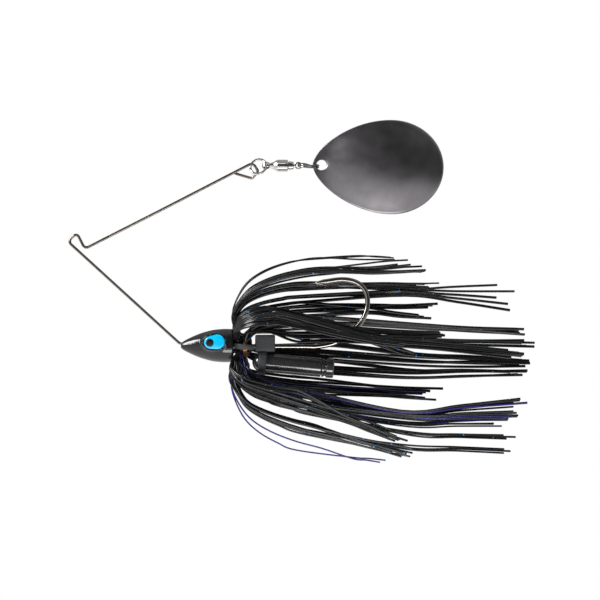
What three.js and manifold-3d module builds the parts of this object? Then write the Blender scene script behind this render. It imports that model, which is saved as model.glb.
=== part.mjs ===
// A spinnerbait with one large blade, held at its line tie. Millimetres, +Z up.
// +X runs from the line tie to the skirt's tail, +Y to the lure's right side.
import * as THREE from "three";
import { mergeVertices } from "three/addons/utils/BufferGeometryUtils.js";
import Module from "manifold-3d";

const wasm = await Module();
wasm.setup();

// Driving dimensions
const GAP = 0.3; // between a piece and what it is cut by
const WIRE_RADIUS = 0.45;
const ARM_END = [55.9, -0.5, 24.1]; // top of the closed loop that carries the spinner
const TIE_BEND = [3.35, 0, -2.75]; // where the upper arm leaves the line tie
const WIRE_END = [41.6, 0, -31.6]; // the lower arm's end, cast into the head
const SHANK_Z = -33.3; // hook shank and skirt axis
const HEAD_Z = -33;
const NOSE_X = 33.4;
const HEAD_LENGTH = 16.4;
const HEAD_RADIUS = 5.2;
const COLLAR = { radius: 2.4, endX: 55.6, lip: 0.3 };
const EYE = { x: 44.4, z: -31.8, reach: 5.5, thickness: 0.6 };
const EYE_LOBES = { back: [0.8, 0.1, 2.3], front: [-1.8, -0.2, 1.7] }; // along, up, radius
const BOSS = { x: 43.8, y: 3.5, z: -31.9, size: [4.3, 2.3, 3.2] }; // the raised ground of the eye
const HOOK_RADIUS = 0.8;
const HOOK_FRONT_X = 43.4;
const HOOK_BEND_X = 76;
const POINT = { from: [78.6, 0, -13.02], tip: [73.6, 0, -13.75] };
const BARB = { from: [76.2, 0, -13.2], tip: [79.2, 0, -14.55], radius: 0.5 };
const RING = { centre: [57.59, 0, 22.94], radius: 2.55, wire: 0.4, lean: 30, tilt: 28 };
const SWIVEL = { front: 0.9, neck: 1.4, shoulder: 3.7, end: 6.8, radius: 1.85, bore: 1.15, shaft: 0.42 };
const LUG = { radius: 1.3, width: 2, hole: 0.8 };
const SPINDLE_COLLAR = { front: 6.1, seam: 6.95, end: 8.6, radius: 1.4, plug: 1 };
const SPINDLE_HEAD = { front: 4.1, back: 5, radius: 0.9 };
const BALLS = { count: 6, radius: 0.28, circle: 0.79, x: 5.55 };
const REAR_EYE = { x: 10, radius: 0.96, wire: 0.26 };
const SPLIT = { radius: 3.15, wire: 0.27, rise: 0.28, tilt: 4, roll: 8 };
const BLADE = { length: 40.8, back: 24.6, half: 14.7, depth: 4.2, sheet: 0.55, tilt: 1.7 };
const BLADE_HOLE = { x: 2.7, radius: 1.6 };
const BLADE_TIP = [1.4, 0, 0.25]; // from the split ring's middle
const RATTLE = { front: [55.7, 0, -37.9], length: 25.6, radius: 3, wall: 0.6, tilt: 5.2 };
const RATTLE_CAP = { x: 21.8, plug: 1.6 };
const SHOT_RADIUS = 1.6;
const HOLDER = { x: [56.6, 62.8], half: 2.2, z: [-35, -29.6], bandX: [2, 4.4], bandRadius: 4, snug: 0.15 };
const BINDING = { x: 52.7, turns: 4, wire: 0.34, radius: 3.35 };
const CORE = { x: [51.9, 54.8], inner: 2.75, outer: 3.05 };
const ROOT_RADIUS = 3.5; // of the folded locks round the binding
const SHOULDER_X = 78; // where the locks have reached their full spread

const vector = (place) => new THREE.Vector3(...place);
const deg = THREE.MathUtils.degToRad;

const FINISH = {
  steel: [0x34322f, 0.25, 1],
  lead: [0x151517, 0.2, 0.3],
  eye: [0x0abcf2, 0.2, 0],
  chrome: [0xc4c4c2, 0.15, 1],
  blackNickel: [0x3c383a, 0.3, 1],
  copper: [0xa4674a, 0.35, 1],
  plastic: [0x101012, 0.15, 0],
  rubber: [0x26272a, 0.6, 0],
  silicone: [0x121316, 0.35, 0],
  blueSilicone: [0x1b1860, 0.4, 0],
};

const lure = new THREE.Group();

function add(name, geometry, finish, parent = lure) {
  const [color, roughness, metalness] = FINISH[finish];
  const mesh = new THREE.Mesh(geometry, new THREE.MeshStandardMaterial({ color, roughness, metalness }));
  mesh.name = name;
  parent.add(mesh);
  return mesh;
}

// Joining and cutting

function solid(geometry) {
  const bare = geometry.clone();
  bare.deleteAttribute("normal");
  bare.deleteAttribute("uv");
  const merged = mergeVertices(bare, 1e-5);
  const corners = [];
  for (let n = 0; n < merged.index.count; n += 3) {
    const triangle = [merged.index.getX(n), merged.index.getX(n + 1), merged.index.getX(n + 2)];
    if (new Set(triangle).size === 3) {
      corners.push(...triangle);
    }
  }
  return new wasm.Manifold(new wasm.Mesh({
    numProp: 3,
    vertProperties: Float32Array.from(merged.attributes.position.array),
    triVerts: Uint32Array.from(corners),
  }));
}

function shape(body) {
  const mesh = body.getMesh();
  const geometry = new THREE.BufferGeometry();
  geometry.setAttribute("position", new THREE.BufferAttribute(mesh.vertProperties, mesh.numProp));
  geometry.setIndex(new THREE.BufferAttribute(mesh.triVerts, 1));
  geometry.computeVertexNormals();
  return geometry;
}

const cut = (body, ...tools) => shape(tools.reduce((rest, tool) => rest.subtract(solid(tool)), solid(body)));
const join = (body, ...others) => shape(others.reduce((sum, other) => sum.add(solid(other)), solid(body)));

// Tubes and turned pieces

// A bent route whose own points are the steps of a sweep, square to the bend at each.
class BentRoute extends THREE.Curve {
  constructor(points) {
    super();
    this.points = points;
  }

  getPoint(t, target = new THREE.Vector3()) {
    const place = t * (this.points.length - 1);
    const first = Math.min(Math.floor(place), this.points.length - 2);
    return target.lerpVectors(this.points[first], this.points[first + 1], place - first);
  }

  getPointAt(u, target) {
    return this.getPoint(u, target);
  }

  getTangentAt(u, target = new THREE.Vector3()) {
    const last = this.points.length - 1;
    const here = Math.round(u * last);
    const before = this.points[Math.max(here - 1, 0)];
    const after = this.points[Math.min(here + 1, last)];
    const arriving = this.points[here].clone().sub(before).normalize();
    return target.subVectors(after, this.points[here]).normalize().add(arriving).normalize();
  }
}

// Straight stretches between the corners, each corner rounded to its own radius.
function rounded(corners, radii, turn = 24) {
  const points = corners.map(vector);
  const route = [points[0]];
  for (let i = 1; i < points.length - 1; i += 1) {
    const back = points[i - 1].clone().sub(points[i]).normalize();
    const on = points[i + 1].clone().sub(points[i]).normalize();
    const angle = back.angleTo(on);
    const reach = radii[i - 1] / Math.tan(angle / 2);
    const middle = back.clone().add(on).normalize();
    const centre = points[i].clone().addScaledVector(middle, radii[i - 1] / Math.sin(angle / 2));
    const from = points[i].clone().addScaledVector(back, reach).sub(centre);
    const to = points[i].clone().addScaledVector(on, reach).sub(centre);
    const axis = from.clone().cross(to).normalize();
    const steps = Math.ceil((180 - THREE.MathUtils.radToDeg(angle)) / turn);
    for (let n = 0; n <= steps; n += 1) {
      const swept = from.clone().applyAxisAngle(axis, (Math.PI - angle) * n / steps);
      route.push(swept.add(centre));
    }
  }
  return [...route, points[points.length - 1]];
}

function roundSection(radius, sides) {
  const corners = [];
  for (let n = 0; n < sides; n += 1) {
    const angle = 2 * Math.PI * n / sides;
    corners.push(new THREE.Vector2(radius * Math.cos(angle), radius * Math.sin(angle)));
  }
  return new THREE.Shape(corners);
}

function tube(points, radius, sides = 8) {
  const settings = { steps: points.length - 1, extrudePath: new BentRoute(points), bevelEnabled: false };
  return new THREE.ExtrudeGeometry(roundSection(radius, sides), settings);
}

// A profile of [place along X, radius] turned about the X axis.
function turned(profile, segments = 20) {
  const points = profile.map(([along, radius]) => new THREE.Vector2(radius, along));
  return new THREE.LatheGeometry(points, segments).rotateZ(-Math.PI / 2);
}

// A rod from one place to another, and a cone whose tip is the second place.
function between(geometry, from, to) {
  const start = vector(from);
  const run = vector(to).sub(start);
  const upright = new THREE.Vector3(0, 1, 0);
  const turn = new THREE.Quaternion().setFromUnitVectors(upright, run.clone().normalize());
  return geometry.applyQuaternion(turn).translate(...start.addScaledVector(run, 0.5).toArray());
}

function rod(from, to, radius, sides = 10) {
  const length = vector(from).distanceTo(vector(to));
  return between(new THREE.CylinderGeometry(radius, radius, length, sides), from, to);
}

function cone(from, tip, radius, sides = 10) {
  const length = vector(from).distanceTo(vector(tip));
  return between(new THREE.ConeGeometry(radius, length, sides), from, tip);
}

// Wire form: both arms, the open line tie between them, and the loop for the ring

const NOSE_BEND = [33.2, 0, -32.5];
const NOSE_BEND_RADIUS = 2;
const wireCorners = [
  WIRE_END,
  NOSE_BEND,
  [-1.9, 0, -0.5],
  [0.85, 0, 2.25],
  TIE_BEND,
  [26.9, 0, 9.2],
  ARM_END,
  [57.6, 0.3, 21.46],
  [55.56, 0.9, 19.3],
  [50.4, 0.4, 20.8],
];
const wireBends = [NOSE_BEND_RADIUS, 1.3, 1, 1.3, 60, 1.5, 0.9, 0.6];
add("wire_form", tube(rounded(wireCorners, wireBends), WIRE_RADIUS, 10), "steel");

// Lead head, with its collar for the skirt, cut for the wire, the hook and the eyes

// [distance from the nose, radius]
const headOutline = new THREE.SplineCurve([
  [0, 0.75], [0.9, 1.45], [2.6, 2.35], [4.8, 3.35], [7.2, 4.2], [10, 4.9], [13, HEAD_RADIUS],
  [HEAD_LENGTH - 1, HEAD_RADIUS],
].map(([along, radius]) => new THREE.Vector2(along, radius))).getPoints(10);

function headBody() {
  const back = NOSE_X + HEAD_LENGTH;
  const profile = [
    [NOSE_X, 0],
    ...headOutline.map((point) => [NOSE_X + point.x, point.y]),
    [back - 0.3, HEAD_RADIUS - 0.25],
    [back, HEAD_RADIUS - 0.9],
    [back, COLLAR.radius],
    [COLLAR.endX - 0.9, COLLAR.radius],
    [COLLAR.endX - 0.6, COLLAR.radius + COLLAR.lip],
    [COLLAR.endX, COLLAR.radius - 0.5],
    [COLLAR.endX, 0],
  ];
  return turned(profile, 24).translate(0, 0, HEAD_Z);
}

function boss(side) {
  return new THREE.SphereGeometry(1, 14, 8).scale(...BOSS.size).translate(BOSS.x, side * BOSS.y, BOSS.z);
}

// Two round lobes drawn together: the large one towards the skirt.
function eyeShape(margin) {
  const [backX, backZ, backRadius] = EYE_LOBES.back;
  const [frontX, frontZ, frontRadius] = EYE_LOBES.front;
  const outline = new THREE.Shape();
  outline.absarc(backX, backZ, backRadius + margin, -1.75, 1.85, false);
  outline.absarc(frontX, frontZ, frontRadius + margin, 1.85, 4.53, false);
  return outline;
}

function eyeDisc(side, margin, from, to) {
  const settings = { depth: to - from, bevelEnabled: false, curveSegments: 7 };
  const disc = new THREE.ExtrudeGeometry(eyeShape(margin), settings);
  disc.rotateX(Math.PI / 2).translate(EYE.x, side < 0 ? -from : to, EYE.z);
  return disc;
}

const SIDES = [["left", -1], ["right", 1]];
const socketFloor = EYE.reach - EYE.thickness - GAP;
const wireInHead = rounded([[42.2, 0, -31.5], NOSE_BEND, [25, 0, -24.97]], [NOSE_BEND_RADIUS]);
const head = cut(
  join(headBody(), ...SIDES.map(([, side]) => boss(side))),
  tube(wireInHead, WIRE_RADIUS + GAP, 10),
  rod([HOOK_FRONT_X - GAP, 0, SHANK_Z], [COLLAR.endX + 1, 0, SHANK_Z], HOOK_RADIUS + GAP),
  ...SIDES.map(([, side]) => eyeDisc(side, GAP, socketFloor, EYE.reach + 2)),
);
add("head", head, "lead");
for (const [name, side] of SIDES) {
  add(`eye_${name}`, eyeDisc(side, 0, EYE.reach - EYE.thickness, EYE.reach), "eye");
}

// Hook: straight shank, round bend, and a barbed point aimed at the head

const bend = new THREE.CatmullRomCurve3([
  [HOOK_BEND_X, 0, SHANK_Z], [80.7, 0, -32.4], [84.2, 0, -30.6], [87.8, 0, -27.7], [90.4, 0, -24.5],
  [91.7, 0, -20.3], [91.2, 0, -16.3], [89.4, 0, -14], [86.8, 0, -12.75], [83.2, 0, -12.4], [78, 0, -13.1],
].map(vector), false, "centripetal").getPoints(22);
const hook = join(
  tube([vector([HOOK_FRONT_X, 0, SHANK_Z]), ...bend], HOOK_RADIUS, 10),
  cone(POINT.from, POINT.tip, HOOK_RADIUS - 0.03),
  cone(BARB.from, BARB.tip, BARB.radius),
);
add("hook", hook, "blackNickel");

// Skirt fastening: a silicone core gripped on the collar by turns of copper wire

function sleeveProfile([from, to], inner, outer) {
  return [[from, inner], [from, outer], [to, outer], [to, inner], [from, inner]];
}
add("skirt_core", turned(sleeveProfile(CORE.x, CORE.inner, CORE.outer)).translate(0, 0, HEAD_Z), "silicone");

function bindingProfile() {
  const { x, turns, wire, radius } = BINDING;
  const inside = radius - 0.2;
  const profile = [[x, inside]];
  for (let n = 0; n < turns; n += 1) {
    const crest = x + wire * (n + 0.5);
    profile.push([crest - wire * 0.3, radius + 0.12]);
    profile.push([crest, radius + 0.18]);
    profile.push([crest + wire * 0.3, radius + 0.12]);
    profile.push([crest + wire * 0.5, radius]);
  }
  return [...profile, [x + wire * turns, inside], profile[0]];
}
add("skirt_binding", turned(bindingProfile()).translate(0, 0, HEAD_Z), "copper");

// Rattle: a holder on the shank, and a capsule with loose shot

const rattle = new THREE.Group();
rattle.position.set(...RATTLE.front);
rattle.rotation.y = deg(RATTLE.tilt);
lure.add(rattle);

const boreRadius = RATTLE.radius - RATTLE.wall;

function domePoints(radius, from, to, clockwise, steps) {
  const arc = new THREE.EllipseCurve(RATTLE.radius, 0, radius, radius, from, to, clockwise);
  return arc.getPoints(steps).map((point) => [point.x, point.y]);
}

function shellProfile() {
  const end = RATTLE_CAP.x - 0.2;
  const profile = [
    ...domePoints(RATTLE.radius, Math.PI, Math.PI / 2, true, 6),
    [end, RATTLE.radius],
    [end, boreRadius],
    ...domePoints(boreRadius, Math.PI / 2, Math.PI, false, 5),
  ];
  profile[0][1] = 0;
  profile[profile.length - 1][1] = 0;
  return profile;
}
add("rattle_shell", turned(shellProfile()), "plastic", rattle);

// A plug that stands in the bore, and a knurl with a groove in front of it.
function capProfile() {
  const { length, radius } = RATTLE;
  const { x: capX, plug } = RATTLE_CAP;
  const snug = boreRadius - 0.15;
  return [
    [capX - plug, 0], [capX - plug, snug], [capX, snug], [capX, radius - 0.15], [capX + 0.7, radius - 0.15],
    [capX + 0.8, radius - 0.5], [capX + 1.3, radius - 0.5], [capX + 1.4, radius], [length - 0.4, radius],
    [length, radius - 0.4], [length, 0],
  ];
}
add("rattle_cap", turned(capProfile()), "plastic", rattle);

const shotPitch = SHOT_RADIUS * 2 + 0.13;
for (const n of [0, 1, 2]) {
  const shot = new THREE.IcosahedronGeometry(SHOT_RADIUS, 1);
  const firstShot = RATTLE_CAP.x - RATTLE_CAP.plug - 0.4 - SHOT_RADIUS;
  shot.translate(firstShot - shotPitch * n, 0, -(boreRadius - SHOT_RADIUS - 0.1));
  add(`rattle_shot_${n + 1}`, shot, "chrome", rattle);
}

// The sleeve grips the shank, and its band the capsule.
function rattleHolder() {
  const [front, back] = HOLDER.x;
  const [low, high] = HOLDER.z;
  const grip = RATTLE.radius + HOLDER.snug;
  const sleeve = new THREE.BoxGeometry(back - front, 2 * HOLDER.half, high - low)
    .translate((front + back) / 2, 0, (low + high) / 2);
  const placed = new THREE.Matrix4().makeRotationY(rattle.rotation.y).setPosition(rattle.position);
  const band = turned(sleeveProfile(HOLDER.bandX, grip, HOLDER.bandRadius)).applyMatrix4(placed);
  const capsuleRoom = rod([-6, 0, 0], [15, 0, 0], grip, 20).applyMatrix4(placed);
  const shankRoom = rod([front - 1, 0, SHANK_Z], [back + 1, 0, SHANK_Z], HOOK_RADIUS + 0.2, 12);
  return join(cut(sleeve, shankRoom, capsuleRoom), band);
}
add("rattle_holder", rattleHolder(), "rubber");

// Spinner: welded ring, ball-bearing swivel, split ring and blade

const alongX = new THREE.Vector3(1, 0, 0);
const ringAlong = new THREE.Vector3(Math.cos(deg(RING.lean)), 0, Math.sin(deg(RING.lean)));
const ringNormal = new THREE.Vector3(0, -1, 0).applyAxisAngle(ringAlong, deg(-RING.tilt));
const ring = new THREE.TorusGeometry(RING.radius, RING.wire, 8, 26);
ring.applyQuaternion(new THREE.Quaternion().setFromUnitVectors(new THREE.Vector3(0, 0, 1), ringNormal));
add("welded_ring", ring.translate(...RING.centre), "chrome");

// The swivel hangs on the ring's rearmost point, its lug square to the ring's wire there.
const rearward = alongX.clone().projectOnPlane(ringNormal).normalize();
const lugCentre = vector(RING.centre).addScaledVector(rearward, RING.radius);
const lugAxis = ringNormal.clone().cross(rearward);
const lugTurn = Math.atan2(-lugAxis.y, lugAxis.z);
const swivel = new THREE.Group();
swivel.position.copy(lugCentre);
lure.add(swivel);

function lug() {
  const { radius, width } = LUG;
  const stub = new THREE.CylinderGeometry(radius, radius, width, 18).rotateX(Math.PI / 2);
  const across = new THREE.CylinderGeometry(radius + 0.05, radius + 0.05, 4, 18).rotateZ(Math.PI / 2);
  return shape(solid(stub).intersect(solid(across))).rotateX(lugTurn);
}

const lugHole = new THREE.CylinderGeometry(LUG.hole, LUG.hole, 6, 14).rotateX(Math.PI / 2).rotateX(lugTurn);
const { front, neck, shoulder, end, radius: barrelRadius, bore } = SWIVEL;
const boreFloor = shoulder + 0.2;
const barrel = turned([
  [front, 0], [front, 0.8], [neck, 0.85], [shoulder - 1.2, 1.25], [shoulder - 0.3, barrelRadius - 0.05],
  [shoulder, barrelRadius], [end - 0.3, barrelRadius], [end, barrelRadius - 0.25], [end, bore],
  [boreFloor, bore], [boreFloor, 0],
]);
add("swivel_barrel", cut(join(barrel, lug()), lugHole), "chrome", swivel);

function spindleCollar() {
  const { front: from, seam, end: rear, radius, plug } = SPINDLE_COLLAR;
  const inside = SWIVEL.shaft + 0.1;
  return turned([
    [from, inside], [from, plug], [seam, plug], [seam, radius], [rear - 0.3, radius - 0.15],
    [rear, radius - 0.35], [rear, inside], [from, inside],
  ]);
}
add("swivel_collar", spindleCollar(), "chrome", swivel);

for (let n = 0; n < BALLS.count; n += 1) {
  const angle = 2 * Math.PI * n / BALLS.count;
  const ball = new THREE.IcosahedronGeometry(BALLS.radius, 1);
  ball.translate(BALLS.x, BALLS.circle * Math.cos(angle), BALLS.circle * Math.sin(angle));
  add(`bearing_ball_${n + 1}`, ball, "chrome", swivel);
}

function spindle() {
  const { front: from, back, radius } = SPINDLE_HEAD;
  const eyeFront = REAR_EYE.x - REAR_EYE.radius;
  const stem = turned([
    [from, 0], [from, radius], [back, radius], [back + 0.1, SWIVEL.shaft], [eyeFront, SWIVEL.shaft],
    [eyeFront, 0],
  ], 14);
  const eye = new THREE.TorusGeometry(REAR_EYE.radius, REAR_EYE.wire, 8, 20).rotateX(Math.PI / 2)
    .translate(REAR_EYE.x, 0, 0);
  const hole = rod([REAR_EYE.x, -2, 0], [REAR_EYE.x, 2, 0], REAR_EYE.radius - REAR_EYE.wire, 20);
  return join(cut(stem, hole), eye);
}
add("swivel_shaft", spindle(), "chrome", swivel);

// Two flat turns that cross over on the far side, so that the ends lie beside the crossing.
function splitRingRoute() {
  const steps = 46;
  const points = [];
  for (let n = 0; n <= steps; n += 1) {
    const turns = 0.07 + 1.86 * n / steps;
    const rise = THREE.MathUtils.clamp((turns - 1) / 0.06, -1, 1) * SPLIT.rise;
    const angle = 2 * Math.PI * (turns + 0.25);
    points.push(new THREE.Vector3(SPLIT.radius * Math.cos(angle), SPLIT.radius * Math.sin(angle), rise));
  }
  return points;
}
const splitCentre = lugCentre.clone().addScaledVector(alongX, REAR_EYE.x + SPLIT.radius);
const splitRing = tube(splitRingRoute(), SPLIT.wire, 6).rotateX(deg(SPLIT.roll)).rotateY(deg(SPLIT.tilt));
add("split_ring", splitRing.translate(...splitCentre.toArray()), "chrome");

// Blade: a dished sheet, egg-shaped with its point at the ring, domed towards -Y

function bladeOutline() {
  const { length, back, half } = BLADE;
  const blunt = 5; // how far the tip's rounding pulls to each side
  const flank = 11.5;
  const outline = new THREE.Shape();
  outline.moveTo(0, 0);
  outline.bezierCurveTo(0, blunt, flank, half, back, half);
  outline.absellipse(back, 0, length - back, half, Math.PI / 2, -Math.PI / 2, true);
  outline.bezierCurveTo(flank, -half, 0, -blunt, 0, 0);
  const points = outline.getPoints(16);
  const apart = (point, n) => n === 0 || point.distanceTo(points[n - 1]) > 0.01;
  const plate = new THREE.Shape(points.filter(apart));
  const holeCentre = new THREE.Vector2(BLADE_HOLE.x, 0);
  const rim = roundSection(BLADE_HOLE.radius, 24).getPoints().map((point) => point.add(holeCentre));
  plate.holes.push(new THREE.Path(rim.slice(0, 24)));
  return plate;
}

function dishing(along, across) {
  const { length, back, half, depth } = BLADE;
  const reach = along < back ? back - 3.5 : length - back;
  const inside = 1 - ((along - back) / reach) ** 2 - (across / half) ** 2;
  return depth * Math.max(inside, 0) ** 1.25;
}

function blade() {
  const margin = 2;
  const width = 2 * (BLADE.half + margin);
  const slab = new THREE.BoxGeometry(BLADE.length + 2 * margin, BLADE.sheet, width, 16, 1, 12);
  slab.translate(BLADE.length / 2, 0, 0);
  const place = slab.attributes.position;
  for (let n = 0; n < place.count; n += 1) {
    place.setY(n, place.getY(n) - dishing(place.getX(n), place.getZ(n)));
  }
  const stampDepth = 16;
  const stamp = new THREE.ExtrudeGeometry(bladeOutline(), { depth: stampDepth, bevelEnabled: false });
  stamp.translate(0, 0, -stampDepth / 2).rotateX(Math.PI / 2);
  return shape(solid(slab).intersect(solid(stamp)));
}
const bladeTip = splitCentre.clone().add(vector(BLADE_TIP));
add("blade", blade().rotateY(deg(BLADE.tilt)).translate(...bladeTip.toArray()), "blackNickel");

// Skirt: locks of silicone strands. Each starts at the binding, and most fold back over it.

// A solid swept along a curve, its width and thickness following their own rules.
function lock(curve, outward, width, thickness, steps) {
  const strip = new THREE.CylinderGeometry(1, 1, 1, 6, steps);
  const place = strip.attributes.position;
  for (let n = 0; n < place.count; n += 1) {
    const share = place.getY(n) + 0.5;
    const along = curve.getTangent(share);
    const across = new THREE.Vector3().crossVectors(outward, along).normalize();
    const up = new THREE.Vector3().crossVectors(across, along);
    const centre = curve.getPoint(share);
    centre.addScaledVector(across, place.getX(n) * width(share) / 2);
    centre.addScaledVector(up, place.getZ(n) * thickness(share) / 2);
    place.setXYZ(n, centre.x, centre.y, centre.z);
  }
  return strip;
}

// [place along X, share of the way from the binding out to the shoulder]
const FOLDED = [
  [51.35, 0], [50.95, 0.13], [50.7, 0.27], [51.2, 0.43], [52.8, 0.59], [55.6, 0.74], [60, 0.86],
  [67, 0.95],
];
const TRAILING = [[55.3, 0], [57.2, 0.32], [61, 0.6], [68, 0.85]];

function addLock(name, route, [rootY, rootZ], [y, z, tailX, tailZ], finish, size = 1) {
  const points = route.map(([x, share]) => new THREE.Vector3(
    x,
    THREE.MathUtils.lerp(rootY, y, share),
    THREE.MathUtils.lerp(rootZ, z, share),
  ));
  points.push(new THREE.Vector3(SHOULDER_X, y, z));
  points.push(new THREE.Vector3((SHOULDER_X + tailX) / 2, y, (z + tailZ) / 2));
  points.push(new THREE.Vector3(tailX, y, tailZ));
  const curve = new THREE.CatmullRomCurve3(points, false, "centripetal");
  const outward = new THREE.Vector3(0, y, z - SHANK_Z).normalize();
  const grown = (share, root, full) => size * THREE.MathUtils.lerp(root, full, Math.min(share * 2, 1));
  const width = (share) => grown(share, 1.15, 3.6);
  const thickness = (share) => grown(share, 0.7, 1.3);
  add(name, lock(curve, outward, width, thickness, 16), finish);
}

// From the top round to the bottom of each side: shoulder y and z, then tail x and z
const FOLDED_LOCKS = {
  left: [
    [-3, -5.8, 101, -5.8], [-8, -10.8, 106, -9.5], [-10, -24.6, 108, -34], [-12.9, -28.6, 138, -36],
    [-11.6, -52.5, 102, -59], [-8, -59.5, 105, -65.5], [-3, -66, 97, -68],
  ],
  right: [
    [3, -8, 101, -8], [8, -13.7, 110, -15], [11, -18.5, 136, -18.5], [12.9, -23, 112, -23.5],
    [11.6, -46, 113, -48.5], [8, -54.5, 134, -57], [3, -61, 136, -66],
  ],
};
const BLUE_FROM = 5; // the first of each side's blue locks

for (const [name, side] of SIDES) {
  FOLDED_LOCKS[name].forEach((route, pair) => {
    const angle = Math.PI * (2 * pair + 1) / 14;
    const root = [side * ROOT_RADIUS * Math.sin(angle), SHANK_Z + ROOT_RADIUS * Math.cos(angle)];
    const number = 2 * pair + (side < 0 ? 1 : 2);
    addLock(`skirt_lock_${number}`, FOLDED, root, route, pair >= BLUE_FROM ? "blueSilicone" : "silicone");
  });
}

// The same for the locks that trail straight back, below their roots beside the shank
const TRAILING_ROOTS = [[2.2, -30.8], [3.3, -33.1], [3.3, -34.7], [2.6, -36.3]];
const TRAILING_LOCKS = {
  left: [[-5, -27.6, 116, -29.4], [-7, -30.6, 141, -32.5], [-7, -47.5, 139, -49.5], [-5, -51.5, 139, -53]],
  right: [[5, -24.5, 140, -29], [7, -36, 139, -38.6], [7, -40.6, 143.6, -41], [5, -57, 137, -62]],
};
for (const [name, side] of SIDES) {
  TRAILING_LOCKS[name].forEach((route, n) => {
    const [y, z] = TRAILING_ROOTS[n];
    addLock(`skirt_tail_${name}_${n + 1}`, TRAILING, [side * y, z], route, "silicone", 0.9);
  });
}

export default lure;
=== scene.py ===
"""A spinnerbait with one large blade and a full silicone skirt, held at its line tie."""

import math
import random
from dataclasses import dataclass

import bpy
from mathutils import Matrix, Quaternion, Vector


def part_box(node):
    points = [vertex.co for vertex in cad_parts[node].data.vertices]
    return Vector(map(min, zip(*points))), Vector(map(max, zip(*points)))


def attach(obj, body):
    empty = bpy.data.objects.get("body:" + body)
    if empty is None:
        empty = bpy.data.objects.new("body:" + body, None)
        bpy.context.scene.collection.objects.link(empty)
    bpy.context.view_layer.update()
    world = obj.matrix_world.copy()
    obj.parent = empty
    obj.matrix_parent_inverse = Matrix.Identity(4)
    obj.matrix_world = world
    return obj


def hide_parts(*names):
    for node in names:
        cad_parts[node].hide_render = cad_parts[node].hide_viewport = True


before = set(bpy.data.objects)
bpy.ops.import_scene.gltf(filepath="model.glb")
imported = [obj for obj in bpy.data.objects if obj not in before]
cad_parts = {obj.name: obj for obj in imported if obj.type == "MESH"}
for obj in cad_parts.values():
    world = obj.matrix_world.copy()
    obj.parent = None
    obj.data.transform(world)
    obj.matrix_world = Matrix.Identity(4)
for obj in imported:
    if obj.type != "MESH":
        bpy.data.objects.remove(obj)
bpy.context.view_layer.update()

# Sizes and places in millimetres, as in the CAD frame
MM = 0.001

WIRE_RADIUS = 0.43
# Corners from inside the head round the line tie to the loop, and the bends' radii
WIRE_CORNERS = [
    (41.6, 0, -31.6), (33.2, 0, -32.5), (-1.9, 0, -0.5), (0.85, 0, 2.25), (3.35, 0, -2.75),
    (26.9, 0, 9.2), (55.9, -0.5, 24.1), (57.6, 0.3, 21.46), (55.56, 0.9, 19.3),
    (50.4, 0.4, 20.8),
]
WIRE_BENDS = [2, 1.3, 1, 1.3, 60, 1.5, 0.9, 0.6]

HEAD_Z = -33
NOSE_X = 33.4
HEAD_LENGTH = 16.4
EYE = Vector((44.4, 0, -31.8))
EYE_FACE = 5.45
EYE_RISE = 0.3
BOSS_CENTRE = Vector((43.8, 3.5, -31.9))
BOSS_SIZE = Vector((4.3, 2.3, 3.2))
PUPIL = Vector((42.65, 0, -32.0))
PUPIL_RADIUS = 1.25
PUPIL_FACE = 5.74
PUPIL_RISE = 0.12

SHANK_Z = -33.3
HOOK_RADIUS = 0.8
HOOK_FRONT_X = 43.4

RING_CENTRE = Vector((57.59, 0, 22.94))
RING_RADIUS = 2.55
RING_WIRE = 0.36
RING_NORMAL = Vector((-0.234735781, -0.882947593, 0.4065743))

LUG_CENTRE = Vector((60.0688, -0.5437, 23.1904))
LUG_RADIUS = 1.05
LUG_HALF_WIDTH = 0.82
LUG_HALF_DEPTH = 0.27
REAR_EYE_X = 10
REAR_EYE_RADIUS = 0.96
REAR_EYE_WIRE = 0.26

SPLIT_RADIUS = 3.15
SPLIT_WIRE = 0.27
SPLIT_RISE = 0.28
SPLIT_TILT = math.radians(4)
SPLIT_ROLL = math.radians(8)
SPLIT_CENTRE = LUG_CENTRE + Vector((REAR_EYE_X + SPLIT_RADIUS, 0, 0))

BLADE_LENGTH = 40.8
BLADE_BACK = 24.6
BLADE_HALF = 14.7
BLADE_DEPTH = 4.2
BLADE_SHEET = 0.55
BLADE_HOLE = Vector((2.7, 0))
BLADE_HOLE_RADIUS = 1.6
BLADE_TIP = SPLIT_CENTRE + Vector((1.4, 0, 0.25))
BLADE_TILT = math.radians(1.7)

RATTLE_FRONT = Vector((55.7, 0, -37.9))
RATTLE_TILT = math.radians(5.2)
RATTLE_RADIUS = 3
RATTLE_BORE = 2.4
SHOT_RADIUS = 1.6
BEARING_RADIUS = 0.28

BINDING_X = 52.87
BINDING_RADIUS = 3.36
BINDING_TURNS = 3.9
BINDING_WIRE = 0.165
BINDING_WIDTH = 1.2648


# Materials

# The fine relief's grain against the colour's, and depths in metres
FINER = 6
GRAIN_RELIEF = 0.00002
SILICONE_RELIEF = 0.00003
COAT_ROUGHNESS = 0.04
# Cells a metre that may hold a flake
FLAKE_CELLS = 1500


def nodes_of(material):
    """A material's node tree and its shader."""
    material.use_nodes = True
    tree = material.node_tree
    return tree, tree.nodes["Principled BSDF"]


def noise(tree, scale, stretch=(1, 1, 1)):
    """Fractal noise in object space, scale in grains a metre, stretched along each axis."""
    place = tree.nodes.new("ShaderNodeTexCoord")
    mapping = tree.nodes.new("ShaderNodeMapping")
    mapping.inputs["Scale"].default_value = stretch
    texture = tree.nodes.new("ShaderNodeTexNoise")
    texture.inputs["Scale"].default_value = scale
    texture.inputs["Detail"].default_value = 4.0
    tree.links.new(place.outputs["Object"], mapping.inputs["Vector"])
    tree.links.new(mapping.outputs["Vector"], texture.inputs["Vector"])
    return texture.outputs["Fac"]


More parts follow.
